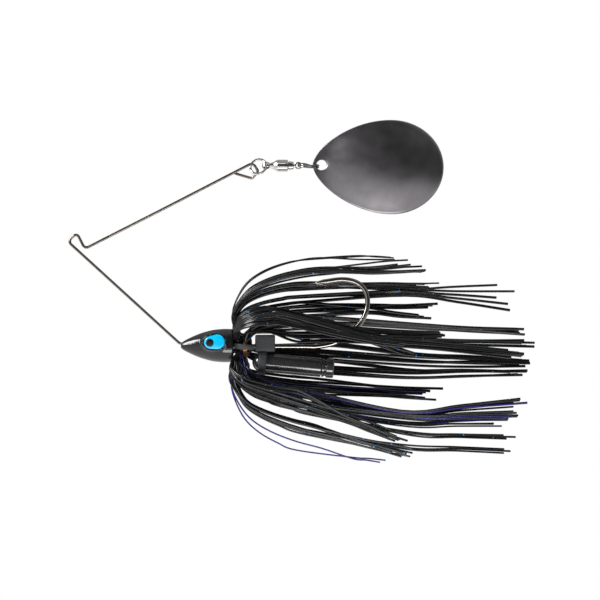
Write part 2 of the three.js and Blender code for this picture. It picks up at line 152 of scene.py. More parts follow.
def rgba(colour):
    """A colour with full opacity, from three values or from one shade of grey."""
    if isinstance(colour, float):
        return (colour, colour, colour, 1)
    return (*colour, 1)


def ramp(tree, source, stops):
    """A colour ramp of (place, colour) stops fed by a socket."""
    node = tree.nodes.new("ShaderNodeValToRGB")
    elements = node.color_ramp.elements
    while len(elements) < len(stops):
        elements.new(0.5)
    for element, (place, colour) in zip(elements, stops):
        element.position = place
        element.color = rgba(colour)
    tree.links.new(source, node.inputs["Fac"])
    return node.outputs["Color"]


def blended(tree, factor, first, second):
    """A mix of two colours, each a socket, three values or a shade of grey."""
    node = tree.nodes.new("ShaderNodeMix")
    node.data_type = "RGBA"
    tree.links.new(factor, node.inputs["Factor"])
    for socket, colour in (("A", first), ("B", second)):
        if isinstance(colour, (float, tuple)):
            node.inputs[socket].default_value = rgba(colour)
        else:
            tree.links.new(colour, node.inputs[socket])
    return node.outputs["Result"]


def bump(tree, shader, source, strength, distance):
    """Small relief from a height socket, its distance in metres."""
    node = tree.nodes.new("ShaderNodeBump")
    node.inputs["Strength"].default_value = strength
    node.inputs["Distance"].default_value = distance
    tree.links.new(source, node.inputs["Height"])
    tree.links.new(node.outputs["Normal"], shader.inputs["Normal"])


def finish_material(name, dark, light, roughness, grain, metallic=0, relief=0.1, coat=0.0):
    """A surface whose colour and roughness drift between two values over fine grain."""
    material = bpy.data.materials.new(name)
    tree, shader = nodes_of(material)
    drift = noise(tree, grain)
    colour = ramp(tree, drift, [(0.3, dark), (0.7, light)])
    tree.links.new(colour, shader.inputs["Base Color"])
    gloss = ramp(tree, drift, [(0.25, roughness[0]), (0.75, roughness[1])])
    tree.links.new(gloss, shader.inputs["Roughness"])
    shader.inputs["Metallic"].default_value = metallic
    shader.inputs["Coat Weight"].default_value = coat
    shader.inputs["Coat Roughness"].default_value = COAT_ROUGHNESS
    fine = noise(tree, grain * FINER)
    bump(tree, shader, fine, relief, GRAIN_RELIEF)
    return material


def flake_mask(tree):
    """White on small round flakes, in a few of the cells that fill the silicone."""
    place = tree.nodes.new("ShaderNodeTexCoord")
    cells = tree.nodes.new("ShaderNodeTexVoronoi")
    cells.inputs["Scale"].default_value = FLAKE_CELLS
    tree.links.new(place.outputs["Object"], cells.inputs["Vector"])
    split = tree.nodes.new("ShaderNodeSeparateColor")
    tree.links.new(cells.outputs["Color"], split.inputs["Color"])
    chosen = ramp(tree, split.outputs["Red"], [(0.98, 0.0), (0.99, 1.0)])
    middle = ramp(tree, cells.outputs["Distance"], [(0.28, 1.0), (0.36, 0.0)])
    both = tree.nodes.new("ShaderNodeMath")
    both.operation = "MULTIPLY"
    tree.links.new(chosen, both.inputs[0])
    tree.links.new(middle, both.inputs[1])
    return both.outputs["Value"]


def silicone_material(name, dark, light, flake):
    """Skirt silicone: smooth and slightly uneven, with small coloured flakes sealed in it."""
    material = bpy.data.materials.new(name)
    tree, shader = nodes_of(material)
    drift = noise(tree, 900, stretch=(0.25, 1, 1))
    base = ramp(tree, drift, [(0.35, dark), (0.7, light)])
    flaked = blended(tree, flake_mask(tree), base, flake)
    tree.links.new(flaked, shader.inputs["Base Color"])
    shader.inputs["Specular IOR Level"].default_value = 0.36
    gloss = ramp(tree, drift, [(0.3, 0.13), (0.7, 0.22)])
    tree.links.new(gloss, shader.inputs["Roughness"])
    fine = noise(tree, 5000, stretch=(0.15, 1, 1))
    bump(tree, shader, fine, 0.15, SILICONE_RELIEF)
    return material


FINISHES = {
    "wire": finish_material(
        "Steel wire", dark=(0.15, 0.13, 0.115), light=(0.23, 0.2, 0.175), metallic=1,
        roughness=(0.14, 0.22), grain=700, relief=0,
    ),
    "lead": finish_material(
        "Gloss head", dark=(0.006, 0.006, 0.007), light=(0.009, 0.008, 0.0095),
        roughness=(0.07, 0.1), grain=500, relief=0,
    ),
    "eye": finish_material(
        "Eye foil", dark=(0.0, 0.42, 0.78), light=(0.0, 0.52, 0.9),
        roughness=(0.15, 0.25), grain=1500, coat=0.5,
    ),
    "pupil": finish_material(
        "Pupil", dark=(0.002, 0.002, 0.003), light=(0.004, 0.004, 0.005),
        roughness=(0.3, 0.4), grain=900,
    ),
    "hook": finish_material(
        "Hook nickel", dark=(0.23, 0.215, 0.195), light=(0.34, 0.315, 0.29), metallic=1,
        roughness=(0.12, 0.2), grain=400, relief=0.01,
    ),
    "swivel": finish_material(
        "Bright chrome", dark=(0.52, 0.5, 0.49), light=(0.64, 0.62, 0.61), metallic=1,
        roughness=(0.05, 0.1), grain=900, relief=0.01,
    ),
    "split": finish_material(
        "Split ring steel", dark=(0.17, 0.16, 0.155), light=(0.26, 0.25, 0.24), metallic=1,
        roughness=(0.08, 0.14), grain=900, relief=0.01,
    ),
    "blade": finish_material(
        "Blade nickel", dark=(0.2, 0.19, 0.2), light=(0.23, 0.22, 0.23), metallic=1,
        roughness=(0.3, 0.36), grain=300, relief=0.08,
    ),
    "copper": finish_material(
        "Copper wire", dark=(0.36, 0.16, 0.06), light=(0.52, 0.26, 0.13), metallic=1,
        roughness=(0.25, 0.4), grain=2500,
    ),
    "holder": finish_material(
        "Matt rubber", dark=(0.02, 0.021, 0.024), light=(0.036, 0.037, 0.042),
        roughness=(0.55, 0.7), grain=1800, relief=0.5,
    ),
    "capsule": finish_material(
        "Gloss plastic", dark=(0.026, 0.026, 0.027), light=(0.034, 0.034, 0.036),
        roughness=(0.12, 0.14), grain=600, relief=0, coat=1.0,
    ),
    "shot": finish_material(
        "Steel shot", dark=(0.55, 0.55, 0.56), light=(0.7, 0.7, 0.7), metallic=1,
        roughness=(0.1, 0.2), grain=900,
    ),
    "silicone": silicone_material(
        "Black silicone", dark=(0.004, 0.004, 0.0045), light=(0.009, 0.009, 0.01),
        flake=(0.01, 0.3, 0.8),
    ),
    "silicone_blue": silicone_material(
        "Blue silicone", dark=(0.013, 0.01, 0.1), light=(0.026, 0.02, 0.17), flake=(0.02, 0.2, 0.8),
    ),
}


# Mesh making


def millimetres(*place):
    """A place in metres from one in millimetres."""
    return Vector(place) * MM


def placed(name, data):
    """An object in the scene for a mesh, a lamp or a camera."""
    made = bpy.data.objects.new(name, data)
    bpy.context.scene.collection.objects.link(made)
    return made


def piece(name, points, faces, finish, body, *replaced):
    """A mesh of places in millimetres that rides on a body and stands for CAD nodes."""
    mesh = bpy.data.meshes.new(name)
    mesh.from_pydata([Vector(point) * MM for point in points], [], faces)
    mesh.materials.append(FINISHES[finish])
    mesh.polygons.foreach_set("use_smooth", [True] * len(faces))
    mesh.update()
    made = placed(name, mesh)
    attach(made, body)
    if replaced:
        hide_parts(*replaced)


def corner_arc(before, corner, after, radius):
    """Places round one corner, at most 5 degrees of its bend apart."""
    back = (before - corner).normalized()
    on = (after - corner).normalized()
    angle = back.angle(on)
    centre = corner + (back + on).normalized() * radius / math.sin(angle / 2)
    start = corner + back * radius / math.tan(angle / 2) - centre
    end = corner + on * radius / math.tan(angle / 2) - centre
    axis = start.cross(end).normalized()
    bend = math.pi - angle
    steps = max(2, math.ceil(math.degrees(bend) / 5.0))
    return [centre + Quaternion(axis, bend * step / steps) @ start for step in range(steps + 1)]


def rounded(corners, radii):
    """Straight stretches between the corners, each corner rounded to its own radius."""
    points = [Vector(corner) for corner in corners]
    route = [points[0]]
    for before, corner, after, radius in zip(points, points[1:], points[2:], radii):
        route += corner_arc(before, corner, after, radius)
    return [*route, points[-1]]


def between(a, b, c, d, t):
    """The place t of the way from b to c on the smooth curve through all four."""
    straight = (2 * b) + (c - a) * t
    curved = (2 * a - 5 * b + 4 * c - d) * t * t
    twisted = (3 * b - a - 3 * c + d) * t**3
    return 0.5 * (straight + curved + twisted)


def spline(points, steps):
    """A smooth curve through the points, with the same number of steps between each two."""
    points = [Vector(point) for point in points]
    ends = [2 * points[0] - points[1], *points, 2 * points[-1] - points[-2]]
    route = []
    for a, b, c, d in zip(ends, ends[1:], ends[2:], ends[3:]):
        route += [between(a, b, c, d, step / steps) for step in range(steps)]
    return [*route, points[-1]]


def circle_section(sides):
    """Places round a circle of radius 1."""
    angles = [2 * math.pi * n / sides for n in range(sides)]
    return [(math.cos(angle), math.sin(angle)) for angle in angles]


def directions(route, closed):
    """The way a route runs at each of its places."""
    count = len(route)
    found = []
    for n in range(count):
        after = route[(n + 1) % count] if closed else route[min(n + 1, count - 1)]
        before = route[n - 1] if closed else route[max(n - 1, 0)]
        found.append((after - before).normalized())
    return found


def quads(here, there, sides):
    """Faces between two rings of places, each ring given by its first number."""
    return [
        (here + k, here + (k + 1) % sides, there + (k + 1) % sides, there + k)
        for k in range(sides)
    ]


def tube_faces(rings, sides, closed):
    """Faces along a row of rings, joined up when closed and capped at both ends when not."""
    faces = []
    for n in range(rings if closed else rings - 1):
        faces += quads(n * sides, ((n + 1) % rings) * sides, sides)
    if not closed:
        faces.append(tuple(reversed(range(sides))))
        faces.append(tuple(range((rings - 1) * sides, rings * sides)))
    return faces


def sweep(route, section, size, side, closed=False, ends=0.0):
    """Points and faces of a section carried along a route without twist.

    size(share) gives the section's two half widths. side is the first direction across the
    route. ends rounds the two ends off over that share of the size."""
    last = len(route) - 1
    tangents = directions(route, closed)
    across = Vector(side)
    near_end, far_end = (0.7, 1 - 0.25 * ends), (1, 1 - 0.6 * ends)
    points = []
    for n, (centre, tangent) in enumerate(zip(route, tangents)):
        across = (across - tangent * across.dot(tangent)).normalized()
        up = tangent.cross(across)
        widths = size(n / last)
        reach = min(widths) * ends
        rings = [(0, 1.0)]
        if n == 0 and ends and not closed:
            rings = [(-far_end[0], far_end[1]), (-near_end[0], near_end[1]), *rings]
        if n == last and ends and not closed:
            rings += [near_end, far_end]
        for along, scale in rings:
            middle = centre + tangent * reach * along
            for u, v in section:
                sideways = across * u * widths[0] * scale
                points.append(middle + sideways + up * v * widths[1] * scale)
    sides = len(section)
    return points, tube_faces(len(points) // sides, sides, closed)


def turned_faces(here, there, segments):
    """Faces between two turned rows, either of which may be a single place on the axis."""
    faces = []
    for n in range(segments):
        following = (n + 1) % segments
        if len(here) == 1 and len(there) == 1:
            continue
        if len(here) == 1:
            faces.append((here[0], there[n], there[following]))
        elif len(there) == 1:
            faces.append((here[following], here[n], there[0]))
        else:
            faces.append((here[following], here[n], there[n], there[following]))
    return faces


def turned(profile, segments=64, closed=False):
    """Points and faces of a profile of (place along X, radius) turned about the X axis."""
    points = []
    rows = []
    for along, radius in profile:
        if radius < 1e-6:
            rows.append([len(points)])
            points.append(Vector((along, 0, 0)))
            continue
        rows.append(list(range(len(points), len(points) + segments)))
        for y, z in circle_section(segments):
            points.append(Vector((along, radius * y, radius * z)))
    pairs = list(zip(rows, rows[1:]))
    if closed:
        pairs.append((rows[-1], rows[0]))
    faces = []
    for here, there in pairs:
        faces += turned_faces(here, there, segments)
    return points, faces


def eased(profile, radius=0.12, steps=3):
    """The same profile with its corners rounded off."""
    corners = [Vector((x, y, 0)) for x, y in profile]
    route = [corners[0]]
    for before, corner, after in zip(corners, corners[1:], corners[2:]):
        reach = min(radius, (before - corner).length * 0.45, (after - corner).length * 0.45)
        start = corner + (before - corner).normalized() * reach
        end = corner + (after - corner).normalized() * reach
        for step in range(steps + 1):
            t = step / steps
            route.append(start * (1 - t) ** 2 + corner * 2 * t * (1 - t) + end * t * t)
    route.append(corners[-1])
    return [(point.x, point.y) for point in route]


def moved(mesh, matrix):
    """A mesh moved by a matrix."""
    points, faces = mesh
    return [matrix @ point for point in points], faces


def joined(*meshes):
    """Several meshes as one."""
    points = []
    faces = []
    for more_points, more_faces in meshes:
        faces += [tuple(n + len(points) for n in face) for face in more_faces]
        points += more_points
    return points, faces


def even(half_width, half_depth):
    """The size of a section that stays the same all along its route."""
    return lambda share: (half_width, half_depth)


# Wire form


def make_wire():
    route = rounded(WIRE_CORNERS, WIRE_BENDS)
    size = even(WIRE_RADIUS, WIRE_RADIUS)
    mesh = sweep(route, circle_section(20), size, side=(0, 1, 0), ends=0.8)
    piece("wire", *mesh, "wire", "lure", "wire_form")


# Head and eyes

# Distance from the nose and radius: of the bare head, then of its flat tip, then of its rear
# face with the skirt's collar behind it
HEAD_CORNERS = [
    (0, 0.75), (0.9, 1.45), (2.6, 2.35), (4.8, 3.35), (7.2, 4.2), (10, 4.9), (13, 5.2),
    (15.4, 5.2), (16.4, 5.2),
]
HEAD_TIP = [(0.0, 0.55), (0.03, 0.72)]
HEAD_REAR = [
    (16.2, 5.05), (16.4, 4.7), (16.4, 2.5), (16.5, 2.4), (21.3, 2.4), (21.6, 2.7), (22.1, 2.0),
    (22.2, 1.8),
]
HEAD_STEPS = 400
HEAD_ROWS = 150
HEAD_SEGMENTS = 220
# The sunken seat and the uneven raised rim round the eye
RIM_HEIGHT = 0.34
RAGGED_HEIGHT = 0.1
SEAT_DEPTH = 0.45


def eye_distance(x, z):
    """How far a place is outside the eye's teardrop outline: negative inside it."""
    back_lobe = math.hypot(x - EYE.x - 0.6, z - EYE.z - 0.1) - 2.3
    front_lobe = math.hypot(x - EYE.x + 1.6, z - EYE.z + 0.15) - 1.9
    blend = 1.2
    mix = max(blend - abs(back_lobe - front_lobe), 0) / blend
    return min(back_lobe, front_lobe) - mix * mix * blend * 0.25


def outline_table():
    """The bare head's radius at evenly spaced distances from the nose."""
    route = spline([(x, radius, 0) for x, radius in HEAD_CORNERS], 60)
    table = []
    for n in range(HEAD_STEPS + 1):
        x = HEAD_LENGTH * n / HEAD_STEPS
        table.append(min(route, key=lambda point: abs(point.x - x)).y)
    return table


HEAD_RADII = outline_table()


def head_outline(x):
    """The bare head's radius at a distance from the nose."""
    return HEAD_RADII[min(int(x / HEAD_LENGTH * HEAD_STEPS), HEAD_STEPS)]


def boss_radius(x, angle):
    """How far from the head's axis the eye's boss reaches in a direction, or nothing."""
    across, up = math.cos(angle), math.sin(angle)
    y = math.copysign(BOSS_CENTRE.y, across)
    z = BOSS_CENTRE.z - HEAD_Z
    a = (across / BOSS_SIZE.y) ** 2 + (up / BOSS_SIZE.z) ** 2
    b = -2 * (across * y / BOSS_SIZE.y**2 + up * z / BOSS_SIZE.z**2)
    ahead = (x - BOSS_CENTRE.x) / BOSS_SIZE.x
    c = ahead**2 + (y / BOSS_SIZE.y) ** 2 + (z / BOSS_SIZE.z) ** 2 - 1
    inside = b * b - 4 * a * c
    return (-b + math.sqrt(inside)) / (2 * a) if inside > 0 else 0


def smooth_max(a, b, blend=0.5):
    """The larger of two values, eased where they are close."""
    mix = max(blend - abs(a - b), 0) / blend
    return max(a, b) + mix * mix * blend * 0.25


def eye_relief(x, y, z):
    """How far the skin is moved outward at a place near the eye."""
    edge = eye_distance(NOSE_X + x, HEAD_Z + z)
    if edge >= 1.4 or abs(y) <= 3.5:
        return 0
    rim = RIM_HEIGHT * math.exp(-((edge - 0.42) / 0.26) ** 2)
    waves = math.sin(13 * math.atan2(z - 1.2, x - 11))
    ragged = RAGGED_HEIGHT * waves * math.exp(-((edge - 0.5) / 0.3) ** 2)
    seat = SEAT_DEPTH * min(max(0.15 - edge, 0) / 0.3, 1)
    return rim + ragged - seat


def head_skin():
    """Rings of places from the nose to the head's widest part, with the eye bosses."""
    profile = list(HEAD_TIP)
    profile += [(HEAD_LENGTH * n / HEAD_ROWS, None) for n in range(1, HEAD_ROWS - 3)]
    points = []
    for x, radius in profile:
        for n in range(HEAD_SEGMENTS):
            angle = 2 * math.pi * n / HEAD_SEGMENTS
            reach = radius or smooth_max(head_outline(x), boss_radius(NOSE_X + x, angle))
            y, z = reach * math.cos(angle), reach * math.sin(angle)
            y += eye_relief(x, y, z) * math.copysign(1, y)
            points.append(Vector((NOSE_X + x, y, HEAD_Z + z)))
    return points


def head_rear():
    """Rings of places over the head's rear face and along its collar."""
    points = []
    for x, radius in HEAD_REAR:
        for y, z in circle_section(HEAD_SEGMENTS):
            points.append(Vector((NOSE_X + x, radius * y, HEAD_Z + radius * z)))
    return points


def make_head():
    rings = [*head_skin(), *head_rear()]
    points = [Vector((NOSE_X, 0, HEAD_Z)), *rings]
    count = HEAD_SEGMENTS
    last = len(rings) // count - 1
    faces = [(0, 1 + (n + 1) % count, 1 + n) for n in range(count)]
    for row in range(last):
        faces += quads(1 + row * count, 1 + (row + 1) * count, count)
    faces.append(tuple(range(1 + last * count, 1 + (last + 1) * count)))
    faces = [tuple(reversed(face)) for face in faces]
    piece("head_body", points, faces, "lead", "lure", "head")


def eye_outline(margin, count=72):
    """Places on the teardrop outline, found by closing in on it from the eye's middle."""
    outline = []
    for n in range(count):
        angle = 2 * math.pi * n / count
        along, up = math.cos(angle), math.sin(angle)
        low, high = 0.0, 6.0
        for _ in range(24):
            reach = (low + high) / 2
            if eye_distance(EYE.x + reach * along, EYE.z + reach * up) < margin:
                low = reach
            else:
                high = reach
        outline.append(Vector((along * low, up * low)))
    return outline


def domed_faces(count, rings):
    """Faces of a fan at the top, then ring after ring, then the flat back."""
    faces = []
    for n in range(count):
        following = (n + 1) % count
        faces.append((0, 1 + n, 1 + following))
        for ring in range(rings):
            here = 1 + ring * count
            there = here + count
            faces.append((here + n, there + n, there + following, here + following))
    faces.append(tuple(reversed(range(1 + rings * count, 1 + (rings + 1) * count))))
    return faces


def domed(outline, centre, side, base, rise, rings=9):
    """A domed lens on an outline, with its rim turned down behind it."""
    points = [Vector((centre.x, side * (base + rise), centre.z))]
    shares = [ring / rings for ring in range(1, rings + 1)]
    rows = [(share, base + rise * math.cos(share * math.pi / 2) ** 0.8) for share in shares]
    for share, height in [*rows, (1.0, base - 0.35)]:
        for edge in outline:
            place = (centre.x + edge.x * share, side * height, centre.z + edge.y * share)
            points.append(Vector(place))
    faces = domed_faces(len(outline), rings)
    if side > 0:
        faces = [tuple(reversed(face)) for face in faces]
    return points, faces


def make_eyes():
    pupil_edge = [Vector(corner) * PUPIL_RADIUS for corner in circle_section(40)]
    for name, side in (("eye_left", -1), ("eye_right", 1)):
        foil = domed(eye_outline(-0.02), EYE, side, EYE_FACE, EYE_RISE)
        pupil = domed(pupil_edge, PUPIL, side, PUPIL_FACE, PUPIL_RISE, 6)
        piece(f"{name}_foil", *foil, "eye", "lure", name)
        piece(f"{name}_pupil", *pupil, "pupil", "lure")


# Hook

HOOK_BEND = [
    (HOOK_FRONT_X, 0, SHANK_Z), (60, 0, SHANK_Z), (72, 0, SHANK_Z), (76, 0, SHANK_Z),
    (80.7, 0, -32.4), (84.2, 0, -30.6), (87.8, 0, -27.7), (90.4, 0, -24.5), (91.7, 0, -20.3),
    (91.2, 0, -16.3), (89.4, 0, -14), (86.8, 0, -12.75), (83.2, 0, -12.4), (78, 0, -13.1),
    (73.6, 0, -13.75),
]
HOOK_BARB = [(75.6, 0, -13.45), (77.4, 0, -13.85), (79.2, 0, -14.55)]
# Where along the hook its point begins
HOOK_TAPER = 0.93


def hook_size(share):
    """The hook's half widths: even, then drawn to a point over its last stretch."""
    reach = HOOK_RADIUS
    if share >= HOOK_TAPER:
        reach = HOOK_RADIUS * max((1 - share) / (1 - HOOK_TAPER), 0.04)
    return reach, reach


def barb_size(share):
    """The barb's half widths, down to its thin end."""
    return 0.42 * (1 - share) + 0.03, 0.5 * (1 - share) + 0.02


def make_hook():
    shank = sweep(spline(HOOK_BEND, 10), circle_section(24), hook_size, side=(0, 1, 0))
    barb = sweep(spline(HOOK_BARB, 6), circle_section(16), barb_size, side=(0, 1, 0))
    piece("hook_wire", *joined(shank, barb), "hook", "lure", "hook")


# Skirt

STRAND_HALF_WIDTH = 0.44
STRAND_HALF_DEPTH = 0.3
# The strands' sizes differ between these shares of the usual one
STOUTNESS = (0.85, 1.1)
ROOT_RADIUS = 3.5
FRONT_X = 49.8
# For a strand that folds back over the binding, and for one that trails straight from it:
# places between the front and the shoulder, as shares of the way back and of the way out
FOLDED = [
    (0.095, 0), (0.035, 0.06), (-0.01, 0.17), (-0.02, 0.33), (0.06, 0.52), (0.2, 0.71),
    (0.42, 0.86), (0.7, 0.96),
]
TRAILING = [(0.12, 0), (0.15, 0.14), (0.25, 0.47), (0.43, 0.74), (0.7, 0.92)]
STRAND_SECTION = [
    (-1, -0.35), (-0.8, -0.85), (-0.4, -1), (0.4, -1), (0.8, -0.85), (1, -0.35),
    (1, 0.35), (0.8, 0.85), (0.4, 1), (-0.4, 1), (-0.8, 0.85), (-1, 0.35),
]

CORE_PROFILE = [(51.9, 2.75), (51.9, 3.05), (53.3, 3.12), (54.8, 3.05), (54.8, 2.75)]
TAB_ROUTE = [(50.3, -3.4, -32.9), (52.2, -4.1, -33.2), (54.4, -4.1, -33.4), (56.3, -3, -33.6)]


@dataclass
class Bundle:
    """Strands that lie side by side and stand for the CAD's solid of that name.

    shoulder is the place where they have reached their full spread, way a place (x, z) that
    they pass behind it, tail the (x, z) of their middle end, and fan the spread of the ends.
    blue counts the blue strands, uneven is how far the lengths differ, and size how stout
    the strands are. A strand keeps its place across the bundle less as crossing grows,
    spacing loosens the bundle, and inner is how far its folds start apart."""

    name: str
    shoulder: tuple
    way: tuple
    tail: tuple
    fan: float
    count: int
    blue: int = 0
    uneven: float = 3.0
    crossing: float = 0.3
    spacing: float = 1.0
    inner: float = 0.4
    size: float = 1.0

    def __post_init__(self):
        self.shoulder = Vector(self.shoulder)
        self.folds = "lock" in self.name


BUNDLES = [
    Bundle(
        "lock_1", shoulder=(74, -3, -6.3), way=(88, -5.5), tail=(100, -5.6), fan=2.0,
        count=3, uneven=2.5, crossing=0.5, spacing=1.6, size=0.8,
    ),
    Bundle(
        "lock_2", shoulder=(78, 3, -9.4), way=(90, -8.6), tail=(104, -7.4), fan=3.4,
        count=4, uneven=3, crossing=0.8, spacing=1.8,
    ),
    Bundle(
        "lock_3", shoulder=(80, -8, -9.9), way=(92, -10), tail=(106, -9.4), fan=2.6,
        count=7, uneven=3.5, crossing=0.6, spacing=0.95,
    ),
    Bundle(
        "lock_4", shoulder=(70, 8, -14.2), way=(88, -14.4), tail=(110.5, -15), fan=4,
        count=8, uneven=4, crossing=0.8, spacing=1.0,
    ),
    Bundle(
        "lock_5", shoulder=(64.5, -10, -22.6), way=(82, -27), tail=(105, -34.4), fan=4.2,
        count=8, uneven=5, crossing=0.5, spacing=0.8, inner=2.5,
    ),
    Bundle(
        "lock_6", shoulder=(74, 11, -18.2), way=(104, -16.4), tail=(136, -18.0), fan=10,
        count=5, uneven=3, crossing=0.0, spacing=1.2,
    ),
    Bundle(
        "lock_7", shoulder=(67, -12.6, -25.0), way=(92, -31), tail=(137, -35.6), fan=4.4,
        count=7, uneven=2.5, crossing=0.5, spacing=0.75, inner=2.5,
    ),
    Bundle(
        "lock_8", shoulder=(76, 12.6, -21.8), way=(92, -21.4), tail=(112, -22), fan=6,
        count=8, uneven=5, crossing=0.9, spacing=1.0,
    ),
    Bundle(
        "lock_9", shoulder=(68, -11.4, -49.6), way=(84, -55), tail=(101, -61), fan=5,
        count=10, uneven=3.5, crossing=0.5, spacing=1.2, inner=4,
    ),
    Bundle(
        "lock_10", shoulder=(76, 11.4, -46), way=(94, -47.6), tail=(112.5, -49), fan=6.4,
        count=9, blue=1, uneven=3.5, crossing=0.4, spacing=1.2, inner=6,
    ),
    Bundle(
        "lock_11", shoulder=(74, -8, -58.6), way=(88, -62.4), tail=(102.5, -66), fan=4.6,
        count=9, uneven=4, crossing=0.5, spacing=1.4, inner=2,
    ),
    Bundle(
        "lock_12", shoulder=(78, 8, -53.6), way=(105, -57.6), tail=(134, -57), fan=4.6,
        count=7, blue=1, uneven=2.5, spacing=1.3, inner=4,
    ),
    Bundle(
        "lock_13", shoulder=(75, -3, -65), way=(87, -67.8), tail=(96.4, -68.8), fan=1.4,
        count=2, blue=2, uneven=1, spacing=2.6, size=0.8,
    ),
    Bundle(
        "lock_14", shoulder=(76, 3, -60.6), way=(104, -65), tail=(136, -66.4), fan=2.4,
        count=3, uneven=2.5, spacing=1.6,
    ),
    Bundle(
        "tail_left_1", shoulder=(78, -5, -27.8), way=(96, -29), tail=(114.6, -29.4), fan=1.8,
        count=6, uneven=1.5, crossing=0.1,
    ),
    Bundle(
        "tail_right_1", shoulder=(78, 5, -25), way=(108, -27), tail=(139.5, -28.6), fan=2.6,
        count=7, uneven=2,
    ),
    Bundle(
        "tail_left_2", shoulder=(80, -7, -30.4), way=(108, -31.6), tail=(140.5, -32.2), fan=3.4,
        count=5, uneven=3, spacing=0.8,
    ),
    Bundle(
        "tail_right_2", shoulder=(80, 7, -35.0), way=(108, -37.2), tail=(139.5, -38.4), fan=3.4,
        count=6, uneven=4, spacing=1.4,
    ),
    Bundle(
        "tail_left_3", shoulder=(70, -7, -47.4), way=(102, -53.8), tail=(138.6, -50.4), fan=3.2,
        count=7, blue=2, uneven=2.5, crossing=0.5,
    ),
    Bundle(
        "tail_right_3", shoulder=(80, 7, -39.6), way=(104, -41.8), tail=(140, -41.6), fan=3.4,
        count=6, uneven=4, crossing=0.6, spacing=1.6,
    ),
    Bundle(
        "tail_left_4", shoulder=(72, -5, -50.4), way=(106, -55), tail=(138, -53.6), fan=5,
        count=6, blue=1, uneven=3, crossing=0.4,
    ),
    Bundle(
        "tail_right_4", shoulder=(76, 5, -55.4), way=(106, -61), tail=(136.6, -61.8), fan=2.2,
        count=4, uneven=2,
    ),
]


def clear_of_rattle(point, side):
    """Keeps a place beside the hook and the rattle, on its own side."""
    beside_rattle = 54.5 < point.x < 83 and -42.5 < point.z < -28.5
    least = 4.9 if beside_rattle else 1.6
    z = point.z
    if side < 0:
        top = -28.8 if point.x < 66 else -33.8
        if 54.5 < point.x < 82 and -36 < z < top:
            z = top
        if 57 < point.x < 82 and -42.3 < z <= -36:
            z = -42.3
    return Vector((point.x, side * max(side * point.y, least), z))


def strand_root(bundle, share_across):
    """Where a strand leaves the binding, on the side its bundle lies."""
    y, z = bundle.shoulder.y, bundle.shoulder.z
    angle = math.atan2(y, z - HEAD_Z) + share_across * 0.2
    return Vector((0, ROOT_RADIUS * math.sin(angle), HEAD_Z + ROOT_RADIUS * math.cos(angle)))


def strand_front(bundle, share_across, outward, spread, drawn):
    """Places from the binding to where the strand has reached its full spread."""
    shoulder = bundle.shoulder
    side = math.copysign(1, shoulder.y)
    across = Vector((0, -outward.z, outward.y))
    root = strand_root(bundle, -side * share_across)
    full = shoulder + across * share_across * spread
    full += outward * drawn.uniform(-0.5, 0.5) * bundle.spacing
    full.x += drawn.uniform(-3, 3) * bundle.spacing
    loose = drawn.uniform(0.6 if shoulder.z > SHANK_Z else -0.6, bundle.inner)
    risen = abs(bundle.way[1] - SHANK_Z) / abs(shoulder.z - SHANK_Z) - 1
    onward = risen * (shoulder.x - FRONT_X) / (bundle.way[0] - shoulder.x)
    points = []
    for along, share in FOLDED if bundle.folds else TRAILING:
        middle = root.lerp(full, share - onward * max(along, 0) * (1 - along))
        fold = loose * math.sin(math.pi * min(share * 1.6, 1))
        middle.x = FRONT_X + (full.x - FRONT_X) * along + fold
        points.append(middle)
    return [*points, full]


def strand_rear(bundle, share_across, full, across, spread, drawn):
    """Places from behind the full spread to the strand's end."""
    upward = math.copysign(1, across.z) if abs(across.z) > 0.2 else 1
    order = share_across * (1 - bundle.crossing) + drawn.uniform(-1, 1) * bundle.crossing
    tail_x = bundle.tail[0] + drawn.uniform(-1, 1) * bundle.uneven
    tail = Vector((tail_x, full.y * drawn.uniform(0.75, 1), bundle.tail[1]))
    tail.z += order * upward * bundle.fan / 2
    way = Vector((bundle.way[0], full.y * drawn.uniform(0.85, 1), bundle.way[1]))
    width = spread * max(abs(across.z), 0.5) * 0.8 * upward
    way.z += (share_across + order) / 2 * width + drawn.uniform(-0.3, 0.3)
    halfway = way.lerp(tail, 0.5) + Vector((0, 0, drawn.uniform(-0.3, 0.3)))
    return [way, halfway, tail]


def strand_route(bundle, share_across, drawn):
    """One strand's middle line. share_across runs from -1 to 1 over the bundle."""
    shoulder = bundle.shoulder
    side = math.copysign(1, shoulder.y)
    outward = Vector((0, shoulder.y, shoulder.z - SHANK_Z)).normalized()
    across = Vector((0, -outward.z, outward.y))
    spread = bundle.count * STRAND_HALF_WIDTH * 0.9 * bundle.spacing
    points = strand_front(bundle, share_across, outward, spread, drawn)
    points += strand_rear(bundle, share_across, points[-1], across, spread, drawn)
    return spline([clear_of_rattle(point, side) for point in points], 6), across


def make_strand(bundle, share_across, drawn):
    route, across = strand_route(bundle, share_across, drawn)
    half_width = STRAND_HALF_WIDTH * bundle.size * drawn.uniform(*STOUTNESS)
    half_depth = STRAND_HALF_DEPTH * bundle.size * drawn.uniform(*STOUTNESS)
    size = even(half_width, half_depth)
    return sweep(route, STRAND_SECTION, size, side=across, ends=0.25)


def make_bundle(bundle, seed):
    """A bundle's strands, in one piece for each colour. The first stands for the CAD's solid."""
    drawn = random.Random(seed)
    blue = {int((n + 0.5) * bundle.count / bundle.blue) for n in range(bundle.blue)}
    by_finish = {"silicone": [], "silicone_blue": []}
    for n in range(bundle.count):
        strand = make_strand(bundle, (2 * n + 1) / bundle.count - 1, drawn)
        by_finish["silicone_blue" if n in blue else "silicone"].append(strand)
    replaced = ["skirt_" + bundle.name]
    for finish, strands in by_finish.items():
        if strands:
            name = "strands_" + bundle.name + finish.removeprefix("silicone")
            piece(name, *joined(*strands), finish, "lure", *replaced)
            replaced = []


